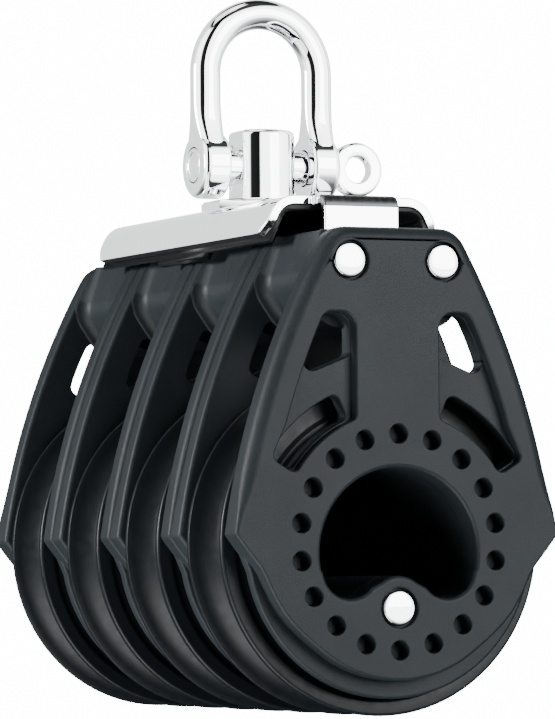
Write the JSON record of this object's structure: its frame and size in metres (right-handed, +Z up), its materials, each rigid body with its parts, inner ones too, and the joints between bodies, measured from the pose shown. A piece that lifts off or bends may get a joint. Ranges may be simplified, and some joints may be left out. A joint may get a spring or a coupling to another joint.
{
  "type": "pulley block",
  "caption": "Multi-sheave ball-bearing block with moulded cheeks, a bent stainless head plate, a swivel post and a bow shackle.",
  "frame": {"origin": "inside of the shackle's crown, on its middle plane, where the block hangs from", "axes": "+Z up along the hanging line, Y along the sheave axle, X across the cheeks with the pin's eye at +X"},
  "size_m": [0.0576, 0.1112, 0.1234],
  "materials": {
    "polished_steel": "mirror polished",
    "rivet_steel": "polished",
    "cheek_nylon": "fine grained matte",
    "sheave_nylon": "satin gloss",
    "acetal": "smooth",
    "saddle": "matte"
  },
  "bodies": {
    "shackle": {"shackle_bow": "polished_steel", "shackle_pin": "polished_steel"},
    "swivel": {"swivel_post": "polished_steel", "swivel_base": "polished_steel", "post_nut": "polished_steel"},
    "block": {"head_plate": "polished_steel", "head_saddle": "saddle", "swivel_washer": "acetal", "cheek_1_front": "cheek_nylon", "cheek_1_back": "cheek_nylon", "cheek_2_front": "cheek_nylon", "cheek_2_back": "cheek_nylon", "cheek_3_front": "cheek_nylon", "cheek_3_back": "cheek_nylon", "cheek_4_front": "cheek_nylon", "cheek_4_back": "cheek_nylon", "hub_1": "cheek_nylon", "hub_2": "cheek_nylon", "hub_3": "cheek_nylon", "hub_4": "cheek_nylon", "rivet_left": "rivet_steel", "rivet_right": "rivet_steel", "rivet_hub": "rivet_steel"},
    "sheave_set_1": {"sheave_1": "sheave_nylon"},
    "sheave_set_2": {"sheave_2": "sheave_nylon"},
    "sheave_set_3": {"sheave_3": "sheave_nylon"},
    "sheave_set_4": {"sheave_4": "sheave_nylon"},
    "ball_set_1": {"balls_1": "acetal"},
    "ball_set_2": {"balls_2": "acetal"},
    "ball_set_3": {"balls_3": "acetal"},
    "ball_set_4": {"balls_4": "acetal"}
  },
  "joints": [
    {"name": "shackle_pivot", "type": "hinge", "parent": "shackle", "child": "swivel", "pos_m": [0, 0, -0.02405], "axis": [1, 0, 0], "range_deg": [-90, 90]},
    {"name": "block_swivel", "type": "hinge", "parent": "swivel", "child": "block", "pos_m": [0, 0, -0.03195], "axis": [0, 0, 1], "continuous": true},
    {"name": "sheave_1_spin", "type": "hinge", "parent": "block", "child": "sheave_set_1", "pos_m": [0, -0.04095, -0.08975], "axis": [0, 1, 0], "continuous": true},
    {"name": "sheave_2_spin", "type": "hinge", "parent": "block", "child": "sheave_set_2", "pos_m": [0, -0.01365, -0.08975], "axis": [0, 1, 0], "continuous": true},
    {"name": "sheave_3_spin", "type": "hinge", "parent": "block", "child": "sheave_set_3", "pos_m": [0, 0.01365, -0.08975], "axis": [0, 1, 0], "continuous": true},
    {"name": "sheave_4_spin", "type": "hinge", "parent": "block", "child": "sheave_set_4", "pos_m": [0, 0.04095, -0.08975], "axis": [0, 1, 0], "continuous": true},
    {"name": "balls_1_roll", "type": "hinge", "parent": "block", "child": "ball_set_1", "pos_m": [0, -0.04095, -0.08975], "axis": [0, 1, 0], "continuous": true},
    {"name": "balls_2_roll", "type": "hinge", "parent": "block", "child": "ball_set_2", "pos_m": [0, -0.01365, -0.08975], "axis": [0, 1, 0], "continuous": true},
    {"name": "balls_3_roll", "type": "hinge", "parent": "block", "child": "ball_set_3", "pos_m": [0, 0.01365, -0.08975], "axis": [0, 1, 0], "continuous": true},
    {"name": "balls_4_roll", "type": "hinge", "parent": "block", "child": "ball_set_4", "pos_m": [0, 0.04095, -0.08975], "axis": [0, 1, 0], "continuous": true}
  ],
  "couplings": [
    {"joint": "balls_1_roll", "follows": "sheave_1_spin", "ratio": 0.5581},
    {"joint": "balls_2_roll", "follows": "sheave_2_spin", "ratio": 0.5581},
    {"joint": "balls_3_roll", "follows": "sheave_3_spin", "ratio": 0.5581},
    {"joint": "balls_4_roll", "follows": "sheave_4_spin", "ratio": 0.5581}
  ]
}
